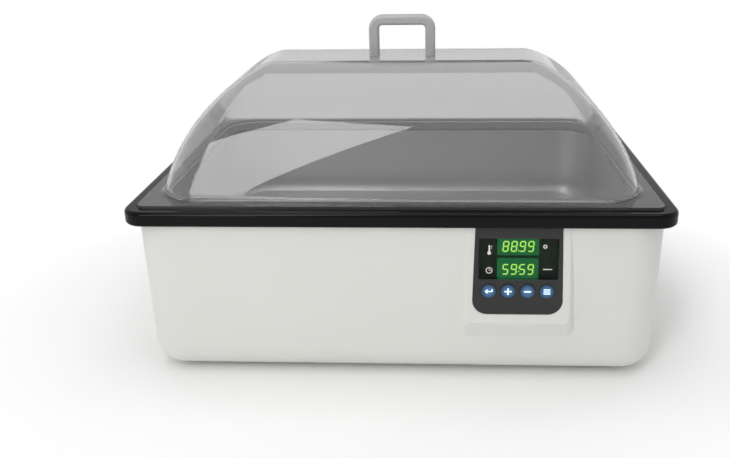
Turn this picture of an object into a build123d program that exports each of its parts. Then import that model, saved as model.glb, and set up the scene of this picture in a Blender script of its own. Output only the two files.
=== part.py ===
from build123d import *
import math
import os

# Bench water bath: a moulded tub, a black rim frame, a drawn steel tank and a clear lift-off lid.
# Millimetres. X runs along the length, Y from the front (minus) to the back, Z up from the bench.
# The origin is on the bench, under the middle of the rim.

# Fits
slip = 0.3
loose = 0.5
shaft_gap = 0.05
seal_gap = 0.1

# Rim frame
rim_length = 560.0
rim_depth = 364.0
rim_top = 191.0
rim_corner = 22.0
bead_width = 12.0
bead_height = 15.4
bead_top_round = 4.0
bead_foot_round = 3.0
ledge_drop = 0.5
ledge_thickness = 3.0
ledge_width = 18.0
throat_depth = 9.5
throat_wall = 2.0
opening_corner = 43.5

# Tank
tank_wall = 1.0
plant_height = 80.0
tank_draft = 2.0
tank_bottom_round = 25.0
tank_flange_width = 11.5
gasket_thickness = 1.5
jacket_thickness = 5.0
jacket_top_gap = 3.0
jacket_bottom_gap = 11.0

# Housing
foot_height = 3.0
housing_inset = 6.0
housing_corner = 40.0
housing_wall = 3.0
housing_draft = 1.2
housing_bottom_round = 28.0
flange_opening_gap = 2.5
foot_radius = 11.0
foot_spigot_radius = 8.0
foot_seat = 1.5
foot_edge_round = 1.0
foot_from_end = 65.0
foot_from_side = 57.0
rear_vent_width = 4.0
rear_vent_height = 24.0
rear_vent_pitch = 15.0
rear_vent_margin = 28.0
rear_vent_middle_height = 46.0

# Bottom cover
cover_from_end = 85.0
cover_from_side = 67.0
cover_corner = 12.0
cover_sheet = 1.2
cover_lap = 15.0
cover_boss_radius = 4.0
cover_boss_height = 8.0
vent_width = 4.0
vent_length = 42.0
vent_pitch = 12.0
vent_count = 7
vents_from_end = 100.0
vents_from_front = 57.5

# Small screws
screw_radius = 1.5
screw_head_radius = 2.8
screw_head_height = 1.4
cover_screw_length = 9.0
frame_screw_length = 7.3
frame_screw_from_side = 92.0
frame_screw_from_end = 80.0

# Control panel
panel_from_end = 158.3
panel_below_rim = 62.9
panel_half_height = 47.1
panel_half_top = 43.2
panel_half_bottom = 46.0
panel_corner = 15.0
panel_thickness = 2.5
panel_proud = 0.6
panel_face_inset = 3.6
panel_tilt = 3.0
panel_rim = 1.7
panel_back_wall = 3.0
panel_edge_round = 0.5
boss_face_top = 47.2
boss_face_bottom = -58.0
boss_face_half_top = 50.5
boss_face_half_bottom = 54.0
boss_root_inset = 9.5
boss_root_below = 78.1
boss_root_half_top = 57.0
boss_root_half_bottom = 60.5
boss_corner = 10.0
boss_edge_round = 2.5
boss_wall = 3.5
boss_face_wall = 3.0
boss_hollow_inset = 17.0
panel_cut_depth = 20.0
window_width = 80.0
window_height = 44.0
window_up = 13.4
window_corner = 2.0
window_lap = 1.0
window_lap_thickness = 1.0
window_sunk = 0.2

# Keys
key_pitch = 19.5
key_up = -21.2
key_radius = 7.6
key_proud = 1.3
key_crown = 0.5
key_collar = 1.1
key_collar_thickness = 1.0
key_stem_radius = 1.5
key_columns = (-1.5, -0.5, 0.5, 1.5)

# Boards
display_gap = 0.5
display_length = 41.0
display_height = 19.0
display_depth = 7.0
display_row_upper = 25.7
display_row_lower = 0.9
board_thickness = 1.6
board_width = 86.0
board_height = 90.0
post_radius = 2.5
post_upper = (36.0, 42.0)
post_lower = (34.0, -38.0)
board_screw_radius = 1.2
board_screw_head = 2.2
board_screw_head_height = 1.6
switch_side = 6.2
switch_height = 4.5
switch_entry = 1.0
switch_floor = 0.7
power_board_length = 120.0
power_board_width = 90.0
power_board_from_end = 40.0
power_board_from_side = 50.0
standoff_height = 8.0
standoff_radius = 3.0
standoff_inset = 6.0
standoff_peg = 1.4
standoff_cap = 2.2
standoff_cap_height = 1.5
transformer_place = (-25.0, 10.0)
transformer_core = (40.0, 20.0, 34.0)
transformer_coil = (28.0, 34.0, 24.0)
relay_place = (17.0, 22.0)
relay_size = (19.0, 15.5, 15.8)
relay_round = 1.0
terminal_place = (15.0, -15.0)
terminal_size = (50.0, 12.0, 14.0)
terminal_count = 6
terminal_pitch = 8.0
terminal_hole = 1.8
fuse_place = (37.0, 3.0)
fuse_radius = 2.6
fuse_length = 20.0
fuse_clip = (5.0, 6.5, 4.0)

# Heating
heater_from_tank_end = 62.5
heater_from_tank_side = 59.5
heater_corner = 20.0
heater_thickness = 2.5
clamp_thickness = 2.0
slab_thickness = 10.0
stud_radius = 2.0
stud_from_end = 40.0
stud_from_side = 35.0
nut_across = 7.0
nut_height = 3.2
washer_radius = 6.0
washer_thickness = 1.0
cutout_radius = 8.0
cutout_height = 8.0
cutout_x = 60.0
probe_radius = 2.5
probe_length = 60.0
probe_end_round = 1.5
probe_off_heater = 13.0
clip_width = 10.0
clip_sheet = 1.0
clip_foot = 8.0
earth_from_end = 60.0
earth_length = 14.0
terminal_blade = (6.3, 0.8, 6.0)
terminal_blade_x = 4.0
stud_drop = 20.0

# Shelf
shelf_height = 18.0
shelf_sheet = 1.2
shelf_margin = 30.0
shelf_corner = 30.0
shelf_hole_radius = 6.0
shelf_hole_pitch = 44.0
shelf_hole_margin = 30.0
shelf_leg_length = 60.0
shelf_leg_from_end = 100.0

# Drain
drain_from_end = 100.0
drain_from_side = 77.0
drain_height = 38.0
pipe_radius = 7.0
pipe_bore = 6.0
pipe_bend = 20.0
collar_radius = 10.5
collar_height = 3.0
recess_left = 35.0
recess_right = 42.0
recess_below = 24.0
recess_above = 28.0
recess_depth = 37.0
recess_wall = 2.5
recess_corner = 6.0
valve_radius = 11.0
valve_length = 25.0
valve_end_round = 2.0
valve_socket = 5.0
valve_bore = 5.0
ball_back = 15.0
ball_radius = 8.0
ball_bore = 4.6
valve_neck_radius = 5.0
valve_neck_height = 5.0
stem_radius = 2.5
stem_seat = 2.0
lever_length = 34.0
lever_width = 9.0
lever_thickness = 3.0
lever_corner = 3.0
lever_grip = 5.0
lever_grip_width = 5.4
lever_hub_radius = 5.5
spigot_radius = 5.0
spigot_bore = 3.5
spigot_length = 11.0
bulkhead_nut_across = 22.0
bulkhead_nut_height = 5.0

# Mains entry
entry_height = 45.0
entry_pad_inset = 7.7
entry_pad_switch_side = 15.0
entry_pad_inlet_side = 32.0
entry_pad_below = 17.0
entry_pad_above = 20.0
inlet_from_end = 130.0
inlet_width = 27.0
inlet_height = 20.0
inlet_depth = 22.0
inlet_flange_width = 50.0
inlet_flange_height = 24.0
inlet_flange = 2.2
inlet_corner = 4.0
inlet_chamfer = 4.0
inlet_socket_width = 24.4
inlet_socket_height = 16.4
inlet_socket_depth = 16.0
inlet_screw_pitch = 40.0
inlet_pin_width = 2.0
inlet_pin_height = 4.0
inlet_pin_pitch = 7.0
inlet_pin_step = 2.0
inlet_pin_reach = 13.0
inlet_screw_length = 9.0
rocker_from_inlet = 45.0
rocker_radius = 9.2
rocker_width = 12.0
rocker_crest = 4.0
rocker_dip = 1.4
rocker_pivot_back = 0.8
rocker_gap = 0.3
rocker_pin_length = 1.2
rocker_swing = 8.0
rocker_pin_radius = 1.5
switch_flange = 2.0
switch_frame_width = 16.6
switch_frame_height = 24.0
switch_body_wall = 1.3
switch_body_depth = 18.0
switch_corner = 2.0

# Lid
lid_gap = 1.5
lid_flange_thickness = 3.0
lid_wall = 3.0
lid_lip_depth = 6.0
lid_lip_wall = 2.5
lid_lip_round = 1.0
lid_foot_out = 2.0
lid_height = 125.0
lid_side_run = 102.0
lid_face_share = 0.7
lid_side_radius = 172.0
lid_face_radius = 190.0
lid_hip_margin = 6.2
lid_shoulder_round = 50.0
lid_cove_round = 7.0
handle_pitch = 64.6
handle_rise = 46.4
handle_thickness = 11.4
handle_depth = 15.0
handle_bend = 10.0
handle_edge_round = 3.5
handle_screw_radius = 2.0
handle_screw_head = 4.0
handle_screw_head_height = 2.5
handle_screw_length = 13.0
handle_washer_radius = 6.0
handle_washer_thickness = 1.0

# Places worked out from the sizes above
half_length = rim_length / 2
half_depth = rim_depth / 2
rim_bottom = rim_top - bead_height
ledge_top = rim_top - ledge_drop
frame_seat = ledge_top - ledge_thickness
throat_bottom = ledge_top - throat_depth
seat_x = half_length - bead_width
seat_y = half_depth - bead_width
opening_x = seat_x - ledge_width
opening_y = seat_y - ledge_width

tank_top = frame_seat - gasket_thickness
tank_gap = throat_wall + loose
tank_x = opening_x + tank_gap
tank_y = opening_y + tank_gap
tank_corner = opening_corner + tank_gap
tank_underside = plant_height
tank_floor = tank_underside + tank_wall
tank_rim_x = tank_x + tank_flange_width
tank_rim_y = tank_y + tank_flange_width
tank_rim_corner = tank_corner + tank_flange_width

housing_x = half_length - housing_inset
housing_y = half_depth - housing_inset
floor_top = foot_height + housing_wall
flange_top = tank_top - tank_wall
flange_under = flange_top - housing_wall
cover_top = foot_height + cover_sheet
cover_length = rim_length - 2 * cover_from_end
cover_depth = rim_depth - 2 * cover_from_side
vents_x = cover_length / 2 - vents_from_end
vents_front_y = vents_from_front - cover_depth / 2
foot_x = half_length - foot_from_end
foot_y = half_depth - foot_from_side


def drawn_in(height_below_top, degrees):
    """How far a wall with this draft has moved inwards at a height below its top."""
    return height_below_top * math.tan(math.radians(degrees))


inner_inset = housing_wall + drawn_in(frame_seat - flange_under, housing_draft)
inner_x = housing_x - inner_inset
inner_y = housing_y - inner_inset
screw_line_x = (tank_rim_x + inner_x) / 2
screw_line_y = (tank_rim_y + inner_y) / 2
frame_screw_x = half_length - frame_screw_from_end
frame_screw_y = half_depth - frame_screw_from_side
frame_screw_places = [(side * screw_line_x, y) for side in (-1, 1) for y in (-frame_screw_y, frame_screw_y)]
frame_screw_places += [
    (x, side * screw_line_y) for side in (-1, 1) for x in (-frame_screw_x, 0, frame_screw_x)
]
cover_line_x = (cover_length - cover_lap) / 2
cover_line_y = (cover_depth - cover_lap) / 2
cover_screw_places = [(x, y) for x in (-cover_line_x, 0, cover_line_x) for y in (-cover_line_y, cover_line_y)]
cover_screw_places += [(-cover_line_x, 0), (cover_line_x, 0)]
foot_places = [(-foot_x, -foot_y), (foot_x, -foot_y), (-foot_x, foot_y), (foot_x, foot_y)]
screw_tip_z = flange_under + frame_screw_length
cover_screw_tip = foot_height + cover_screw_length

panel_x = half_length - panel_from_end
panel_middle_height = rim_top - panel_below_rim
boss_root_top = rim_bottom - slip
boss_root_bottom = panel_middle_height - boss_root_below
boss_root_y = half_depth - boss_root_inset
boss_hollow_y = half_depth - boss_hollow_inset
tilt = math.radians(panel_tilt)
panel_plane = Plane(
    origin=(panel_x, panel_face_inset - half_depth, panel_middle_height),
    x_dir=(1, 0, 0),
    z_dir=(0, -math.cos(tilt), math.sin(tilt)),
)
bezel_back = -panel_thickness
collar_front = bezel_back - seal_gap
collar_back = collar_front - key_collar_thickness
lens_back = bezel_back - window_lap_thickness
board_front = lens_back - display_gap - display_depth
board_back = board_front - board_thickness
post_places = [(side * x, y) for side in (-1, 1) for x, y in (post_upper, post_lower)]
post_hole_front = bezel_back - seal_gap

heater_length = 2 * (tank_x - heater_from_tank_end)
heater_width = 2 * (tank_y - heater_from_tank_side)
stud_spacing_long = heater_length - 2 * stud_from_end
stud_spacing_across = heater_width - 2 * stud_from_side
probe_y = -heater_width / 2 - probe_off_heater
earth_x = heater_length / 2 - earth_from_end
earth_y = heater_width / 2 + probe_off_heater
heater_bottom = tank_underside - heater_thickness
clamp_bottom = heater_bottom - clamp_thickness
slab_bottom = clamp_bottom - slab_thickness
probe_z = tank_underside - probe_radius
power_board_x = cover_length / 2 - power_board_from_end - power_board_length / 2
power_board_y = cover_depth / 2 - power_board_from_side - power_board_width / 2
power_board_bottom = cover_top + standoff_height
power_board_top = power_board_bottom + board_thickness

drain_x = drain_from_end - half_length
drain_y = half_depth - drain_from_side
recess_floor_y = half_depth - recess_depth
pipe_end_y = recess_floor_y + valve_socket
ball_y = recess_floor_y + ball_back
recess_west = drain_x - recess_left
recess_east = drain_x + recess_right
recess_bottom = drain_height - recess_below
recess_top = drain_height + recess_above
valve_end_y = recess_floor_y + valve_length
spigot_end_y = valve_end_y + spigot_length
neck_top = drain_height + valve_radius + valve_neck_height
lever_bottom = neck_top + slip
inlet_x = half_length - inlet_from_end
rocker_x = inlet_x - rocker_from_inlet
entry_pad_y = half_depth - entry_pad_inset
entry_pad_left = rocker_x - entry_pad_switch_side
entry_pad_right = inlet_x + entry_pad_inlet_side
rear_vent_span = entry_pad_left - recess_east - 2 * rear_vent_margin
rear_vent_count = int(rear_vent_span / rear_vent_pitch) + 1
rear_vent_x = (entry_pad_left + recess_east) / 2
pivot_y = entry_pad_y - rocker_pivot_back
switch_body_x = rocker_width / 2 + rocker_gap + switch_body_wall
switch_body_z = rocker_radius + rocker_gap + switch_body_wall
inlet_socket_floor = entry_pad_y + inlet_flange - inlet_socket_depth

lid_face_half = opening_y + lid_foot_out
lid_face_run = lid_face_half * lid_face_share
lid_hip_round = lid_face_half - lid_face_run - lid_hip_margin
lid_x = seat_x - lid_gap
lid_y = seat_y - lid_gap
lid_corner = rim_corner - bead_width - lid_gap
lid_base = ledge_top + lid_flange_thickness
lid_top = rim_top + lid_height
lip_x = opening_x - lid_gap
lip_y = opening_y - lid_gap
lip_corner = opening_corner - lid_gap
lip_bottom = ledge_top - lid_lip_depth
handle_x = handle_pitch / 2
handle_bar_z = lid_top + handle_rise - handle_thickness / 2
handle_places = [(-handle_x, 0), (handle_x, 0)]
screw_start_z = lid_top - lid_wall - handle_washer_thickness
handle_screw_tip = screw_start_z + handle_screw_length


def rounded_slab(half_x, half_y, corner, bottom, top):
    """A flat slab with a rounded plan, between two heights."""
    with BuildPart() as shape:
        with BuildSketch(Plane.XY.offset(bottom)):
            RectangleRounded(2 * half_x, 2 * half_y, corner)
        extrude(amount=top - bottom)
    return shape.part


def tub(half_x, half_y, corner, top, bottom, draft, bottom_round):
    """A solid with a rounded plan, walls that draw in downwards and a rounded bottom edge."""
    downwards = Plane(origin=(0, 0, top), x_dir=(1, 0, 0), z_dir=(0, 0, -1))
    with BuildPart() as shape:
        with BuildSketch(downwards):
            RectangleRounded(2 * half_x, 2 * half_y, corner)
        extrude(amount=top - bottom, taper=draft)
        if bottom_round > 0:
            fillet(shape.edges().group_by(Axis.Z)[0], bottom_round)
    return shape.part


def block(west, east, front, back, bottom, top):
    """A square-edged block between two places on each axis."""
    with BuildPart() as shape:
        with BuildSketch(Plane.XY.offset(bottom)):
            with Locations(((west + east) / 2, (front + back) / 2)):
                Rectangle(east - west, back - front)
        extrude(amount=top - bottom)
    return shape.part


def discs(places, radius, bottom, top):
    """Upright round solids at several places, between two heights."""
    with BuildPart() as shape:
        with BuildSketch(Plane.XY.offset(bottom)):
            with Locations(*places):
                Circle(radius)
        extrude(amount=top - bottom)
    return shape.part


def facing_back(x, y, z):
    """A plane that looks out of the back of the bath, with its own up the same as the bath's."""
    return Plane(origin=(x, y, z), x_dir=(-1, 0, 0), z_dir=(0, 1, 0))


def facing_right(x, y, z):
    """A plane that looks out of the right side of the bath, with its own across running to the back."""
    return Plane(origin=(x, y, z), x_dir=(0, 1, 0), z_dir=(1, 0, 0))


def rear_disc(x, z, radius, front, back):
    """A round solid that runs front to back."""
    with BuildPart() as shape:
        with BuildSketch(facing_back(x, front, z)):
            Circle(radius)
        extrude(amount=back - front)
    return shape.part


def four_sided(half_top, half_bottom, top, bottom):
    """A flat outline with four straight sides, level at its top and bottom."""
    with BuildSketch() as outline:
        with BuildLine():
            Polyline(
                (-half_top, top), (half_top, top), (half_bottom, bottom), (-half_bottom, bottom), close=True,
            )
        make_face()
    return outline.sketch


def panel_shape(grow):
    """The bezel's outline, grown by an amount: square at the top, rounded at the bottom."""
    reach = panel_half_height + grow
    with BuildSketch() as outline:
        add(four_sided(panel_half_top + grow, panel_half_bottom + grow, reach, -reach))
        fillet(outline.vertices().group_by(Axis.Y)[0], panel_corner + grow)
    return outline.sketch


def panel_slab(outline, back, front):
    """An outline drawn on the control panel, made solid between two depths."""
    with BuildPart() as shape:
        with BuildSketch(panel_plane.offset(back)):
            add(outline)
        extrude(amount=front - back)
    return shape.part


def panel_discs(places, radius, back, front):
    """Round solids square to the control panel, between two depths."""
    with BuildPart() as shape:
        with BuildSketch(panel_plane.offset(back)):
            with Locations(*places):
                Circle(radius)
        extrude(amount=front - back)
    return shape.part


def panel_window(grow):
    """The display window's outline, grown by an amount."""
    with BuildSketch() as outline:
        with Locations((0, window_up)):
            RectangleRounded(window_width + 2 * grow, window_height + 2 * grow, window_corner)
    return outline.sketch


key_places = [(column * key_pitch, key_up) for column in key_columns]


# Housing: white moulded tub with a slanted control boss, a drain recess and a pad for the mains entry.
housing_outside = tub(
    housing_x, housing_y, housing_corner, frame_seat, foot_height, housing_draft, housing_bottom_round,
)

with BuildPart() as control_boss:
    with BuildSketch(Plane(origin=(panel_x, -boss_root_y, 0), x_dir=(1, 0, 0), z_dir=(0, -1, 0))):
        add(four_sided(boss_root_half_top, boss_root_half_bottom, boss_root_top, boss_root_bottom))
    with BuildSketch(panel_plane):
        add(four_sided(boss_face_half_top, boss_face_half_bottom, boss_face_top, boss_face_bottom))
    loft(ruled=True)
    fillet(control_boss.edges().filter_by(Axis.X, reverse=True).group_by(Axis.Z)[0], boss_corner)
    front_face = control_boss.faces().filter_by(GeomType.PLANE).sort_by(Axis.Y)[0]
    fillet(front_face.edges().sort_by(Axis.Z)[:-1], boss_edge_round)

with BuildPart() as boss_hollow:
    with BuildSketch(Plane(origin=(panel_x, -boss_hollow_y, 0), x_dir=(1, 0, 0), z_dir=(0, -1, 0))):
        add(four_sided(
            boss_root_half_top - boss_wall,
            boss_root_half_bottom - boss_wall,
            boss_root_top - boss_wall,
            boss_root_bottom + boss_wall,
        ))
    with BuildSketch(panel_plane.offset(-boss_face_wall)):
        add(four_sided(
            boss_face_half_top - boss_wall,
            boss_face_half_bottom - boss_wall,
            boss_face_top - boss_wall,
            boss_face_bottom + boss_wall,
        ))
    loft(ruled=True)

with BuildPart() as recess_walls:
    add(block(
        recess_west - recess_wall,
        recess_east + recess_wall,
        recess_floor_y - recess_wall,
        half_depth,
        recess_bottom - recess_wall,
        recess_top + recess_wall,
    ))
    fillet(recess_walls.edges().filter_by(Axis.Y), recess_corner + recess_wall)
    add(housing_outside, mode=Mode.INTERSECT)

with BuildPart() as recess_hole:
    add(block(recess_west, recess_east, recess_floor_y, half_depth, recess_bottom, recess_top))
    fillet(recess_hole.edges().filter_by(Axis.Y), recess_corner)

with BuildPart() as housing:
    add(housing_outside)
    add(control_boss.part)
    add(block(
        entry_pad_left,
        entry_pad_right,
        boss_hollow_y,
        entry_pad_y,
        entry_height - entry_pad_below,
        entry_height + entry_pad_above,
    ))
    inner_corner = housing_corner - inner_inset
    inner_round = housing_bottom_round - housing_wall
    add(
        tub(inner_x, inner_y, inner_corner, flange_under, floor_top, housing_draft, inner_round),
        mode=Mode.SUBTRACT,
    )
    add(boss_hollow.part, mode=Mode.SUBTRACT)
    add(panel_slab(panel_shape(panel_back_wall), bezel_back - panel_back_wall, bezel_back))
    add(panel_slab(panel_shape(slip), bezel_back, panel_cut_depth), mode=Mode.SUBTRACT)
    add(panel_slab(panel_shape(-panel_rim), -panel_cut_depth, bezel_back), mode=Mode.SUBTRACT)
    add(recess_walls.part)
    add(recess_hole.part, mode=Mode.SUBTRACT)
    add(rounded_slab(
        tank_x + tank_wall + flange_opening_gap,
        tank_y + tank_wall + flange_opening_gap,
        tank_corner + tank_wall + flange_opening_gap,
        flange_under,
        frame_seat,
    ), mode=Mode.SUBTRACT)
    add(rounded_slab(
        tank_rim_x + slip, tank_rim_y + slip, tank_rim_corner + slip, flange_top, frame_seat,
    ), mode=Mode.SUBTRACT)
    add(rounded_slab(
        cover_length / 2 + slip, cover_depth / 2 + slip, cover_corner + slip, foot_height, cover_top,
    ), mode=Mode.SUBTRACT)
    add(rounded_slab(
        cover_length / 2 - cover_lap, cover_depth / 2 - cover_lap, cover_corner, foot_height, floor_top,
    ), mode=Mode.SUBTRACT)
    add(discs(cover_screw_places, cover_boss_radius, cover_top, floor_top + cover_boss_height))
    add(
        discs(cover_screw_places, screw_radius + shaft_gap, cover_top, cover_screw_tip + slip),
        mode=Mode.SUBTRACT,
    )
    add(
        discs(foot_places, foot_spigot_radius + shaft_gap, foot_height, foot_height + foot_seat),
        mode=Mode.SUBTRACT,
    )
    add(discs(frame_screw_places, screw_radius + shaft_gap, flange_under, frame_seat), mode=Mode.SUBTRACT)
    with BuildSketch(facing_back(rear_vent_x, recess_floor_y, rear_vent_middle_height)):
        with GridLocations(rear_vent_pitch, rear_vent_height, rear_vent_count, 1):
            SlotOverall(rear_vent_height, rear_vent_width, rotation=90)
    extrude(amount=half_depth - recess_floor_y, mode=Mode.SUBTRACT)
    add(
        rear_disc(drain_x, drain_height, pipe_radius + slip, recess_floor_y - recess_wall, recess_floor_y),
        mode=Mode.SUBTRACT,
    )
    with BuildSketch(facing_back(inlet_x, boss_hollow_y, entry_height)):
        Rectangle(inlet_width + 2 * slip, inlet_height + 2 * slip)
        with GridLocations(inlet_screw_pitch, 1, 2, 1):
            Circle(screw_radius + shaft_gap)
    extrude(amount=entry_pad_y - boss_hollow_y, mode=Mode.SUBTRACT)
    with BuildSketch(facing_back(rocker_x, boss_hollow_y, entry_height)):
        Rectangle(2 * (switch_body_x + slip), 2 * (switch_body_z + slip))
    extrude(amount=entry_pad_y - boss_hollow_y, mode=Mode.SUBTRACT)
housing.part.label = "housing"

# Rim frame: one black moulding that caps the housing, seats the lid and lines the tank's mouth.
with BuildPart() as rim_frame:
    with BuildSketch(Plane.XY.offset(rim_bottom)):
        RectangleRounded(rim_length, rim_depth, rim_corner)
    extrude(amount=bead_height)
    with BuildSketch(Plane.XY.offset(rim_bottom)):
        RectangleRounded(2 * (housing_x + loose), 2 * (housing_y + loose), housing_corner + loose)
    extrude(amount=frame_seat - rim_bottom, mode=Mode.SUBTRACT)
    with BuildSketch(Plane.XY.offset(ledge_top)):
        RectangleRounded(2 * seat_x, 2 * seat_y, rim_corner - bead_width)
    extrude(amount=ledge_drop, mode=Mode.SUBTRACT)
    fillet(rim_frame.faces().sort_by(Axis.Z)[-1].outer_wire().edges(), bead_top_round)
    fillet(rim_frame.faces().sort_by(Axis.Z)[0].outer_wire().edges(), bead_foot_round)
    with BuildSketch(Plane.XY.offset(throat_bottom)):
        RectangleRounded(
            2 * (opening_x + throat_wall), 2 * (opening_y + throat_wall), opening_corner + throat_wall,
        )
    extrude(amount=frame_seat - throat_bottom)
    with BuildSketch(Plane.XY.offset(throat_bottom)):
        RectangleRounded(2 * opening_x, 2 * opening_y, opening_corner)
    extrude(amount=rim_top - throat_bottom, mode=Mode.SUBTRACT)
    add(
        discs(frame_screw_places, screw_radius + shaft_gap, frame_seat, screw_tip_z + slip),
        mode=Mode.SUBTRACT,
    )
rim_frame.part.label = "rim_frame"

# Frame screws: ten, driven up through the housing's flange into the rim frame.
with BuildPart() as frame_screws:
    add(discs(frame_screw_places, screw_head_radius, flange_under - screw_head_height, flange_under))
    add(discs(frame_screw_places, screw_radius, flange_under, screw_tip_z))
frame_screws.part.label = "frame_screws"

# Tank: drawn steel pan that hangs by its flange between the housing and the rim frame.
with BuildPart() as tank:
    add(tub(
        tank_x + tank_wall,
        tank_y + tank_wall,
        tank_corner + tank_wall,
        tank_top,
        tank_underside,
        tank_draft,
        tank_bottom_round + tank_wall,
    ))
    add(rounded_slab(tank_rim_x, tank_rim_y, tank_rim_corner, flange_top, tank_top))
    add(
        tub(tank_x, tank_y, tank_corner, tank_top, tank_floor, tank_draft, tank_bottom_round),
        mode=Mode.SUBTRACT,
    )
    add(discs([(drain_x, drain_y)], pipe_radius + seal_gap, tank_underside, tank_floor), mode=Mode.SUBTRACT)
tank.part.label = "tank"

# Tank gasket: a flat rubber ring between the tank's flange and the rim frame.
with BuildPart() as tank_gasket:
    add(rounded_slab(tank_rim_x, tank_rim_y, tank_rim_corner, tank_top, frame_seat))
    gasket_x = tank_x + tank_wall
    gasket_y = tank_y + tank_wall
    add(
        rounded_slab(gasket_x, gasket_y, tank_corner + tank_wall, tank_top, frame_seat),
        mode=Mode.SUBTRACT,
    )
tank_gasket.part.label = "tank_gasket"

# Insulation jacket: foam band wrapped round the tank's walls.
with BuildPart() as tank_jacket:
    jacket_top = flange_under - jacket_top_gap
    jacket_bottom = tank_underside + jacket_bottom_gap
    jacket_inset = tank_wall + slip - drawn_in(tank_top - jacket_top, tank_draft)
    jacket_outset = jacket_inset + jacket_thickness
    add(tub(
        tank_x + jacket_outset,
        tank_y + jacket_outset,
        tank_corner + jacket_outset,
        jacket_top,
        jacket_bottom,
        tank_draft,
        0,
    ))
    add(tub(
        tank_x + jacket_inset,
        tank_y + jacket_inset,
        tank_corner + jacket_inset,
        jacket_top,
        jacket_bottom,
        tank_draft,
        0,
    ), mode=Mode.SUBTRACT)
tank_jacket.part.label = "tank_jacket"

# Shelf: perforated steel plate on four folded legs, lifted out by hand.
with BuildPart() as perforated_shelf:
    shelf_top = tank_floor + shelf_height + shelf_sheet
    shelf_inset = shelf_margin + drawn_in(tank_top - shelf_top, tank_draft)
    shelf_x = tank_x - shelf_inset
    shelf_y = tank_y - shelf_inset
    shelf_columns = int(2 * (shelf_x - shelf_hole_margin) / shelf_hole_pitch) + 1
    shelf_rows = int(2 * (shelf_y - shelf_hole_margin) / shelf_hole_pitch) + 1
    with BuildSketch(Plane.XY.offset(tank_floor + shelf_height)):
        RectangleRounded(2 * shelf_x, 2 * shelf_y, shelf_corner)
        with GridLocations(shelf_hole_pitch, shelf_hole_pitch, shelf_columns, shelf_rows):
            Circle(shelf_hole_radius, mode=Mode.SUBTRACT)
    extrude(amount=shelf_sheet)
    with BuildSketch(Plane.XY.offset(tank_floor)):
        with GridLocations(2 * shelf_x - shelf_sheet, 1, 2, 1):
            Rectangle(shelf_sheet, shelf_leg_length)
        with GridLocations(2 * (shelf_x - shelf_leg_from_end), 2 * shelf_y - shelf_sheet, 2, 2):
            Rectangle(shelf_leg_length, shelf_sheet)
    extrude(amount=shelf_height)
perforated_shelf.part.label = "perforated_shelf"

# Heater: a flat pad, a clamp plate and an insulation slab held under the tank by four studs.
with BuildPart() as heater_pad:
    with BuildSketch(Plane.XY.offset(heater_bottom)):
        RectangleRounded(heater_length, heater_width, heater_corner)
        with GridLocations(stud_spacing_long, stud_spacing_across, 2, 2):
            Circle(stud_radius + slip, mode=Mode.SUBTRACT)
    extrude(amount=heater_thickness)
heater_pad.part.label = "heater_pad"

with BuildPart() as heater_clamp_plate:
    with BuildSketch(Plane.XY.offset(clamp_bottom)):
        RectangleRounded(heater_length, heater_width, heater_corner)
        with GridLocations(stud_spacing_long, stud_spacing_across, 2, 2):
            Circle(stud_radius + slip, mode=Mode.SUBTRACT)
    extrude(amount=clamp_thickness)
heater_clamp_plate.part.label = "heater_clamp_plate"

with BuildPart() as heater_insulation:
    with BuildSketch(Plane.XY.offset(slab_bottom)):
        RectangleRounded(heater_length, heater_width, heater_corner)
        with GridLocations(stud_spacing_long, stud_spacing_across, 2, 2):
            Circle(stud_radius + slip, mode=Mode.SUBTRACT)
        with Locations((cutout_x, 0)):
            Circle(cutout_radius + loose, mode=Mode.SUBTRACT)
    extrude(amount=slab_thickness)
heater_insulation.part.label = "heater_insulation"

with BuildPart() as heater_studs:
    with BuildSketch(Plane.XY.offset(tank_underside - stud_drop)):
        with GridLocations(stud_spacing_long, stud_spacing_across, 2, 2):
            Circle(stud_radius)
    extrude(amount=stud_drop)
heater_studs.part.label = "heater_studs"

with BuildPart() as heater_nuts:
    with BuildSketch(Plane.XY.offset(slab_bottom - washer_thickness)):
        with GridLocations(stud_spacing_long, stud_spacing_across, 2, 2):
            Circle(washer_radius)
            Circle(stud_radius + shaft_gap, mode=Mode.SUBTRACT)
    extrude(amount=washer_thickness)
    with BuildSketch(Plane.XY.offset(slab_bottom - washer_thickness - nut_height)):
        with GridLocations(stud_spacing_long, stud_spacing_across, 2, 2):
            RegularPolygon(nut_across / 2, 6, major_radius=False)
            Circle(stud_radius + shaft_gap, mode=Mode.SUBTRACT)
    extrude(amount=nut_height)
heater_nuts.part.label = "heater_nuts"

# Thermal cut-out: snap disc on the clamp plate, with two blade terminals.
with BuildPart() as thermal_cutout:
    add(discs([(cutout_x, 0)], cutout_radius, clamp_bottom - cutout_height, clamp_bottom))
    blade_width, blade_thickness, blade_drop = terminal_blade
    with BuildSketch(Plane.XY.offset(clamp_bottom - cutout_height - blade_drop)):
        with Locations((cutout_x, 0)):
            with GridLocations(2 * terminal_blade_x, 1, 2, 1):
                Rectangle(blade_thickness, blade_width)
    extrude(amount=blade_drop)
thermal_cutout.part.label = "thermal_cutout"

# Temperature probe: a steel rod held against the tank by a strap.
with BuildPart() as temperature_probe:
    with BuildSketch(facing_right(-probe_length / 2, probe_y, probe_z)):
        Circle(probe_radius)
    extrude(amount=probe_length)
    fillet(temperature_probe.edges(), probe_end_round)
temperature_probe.part.label = "temperature_probe"

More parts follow.
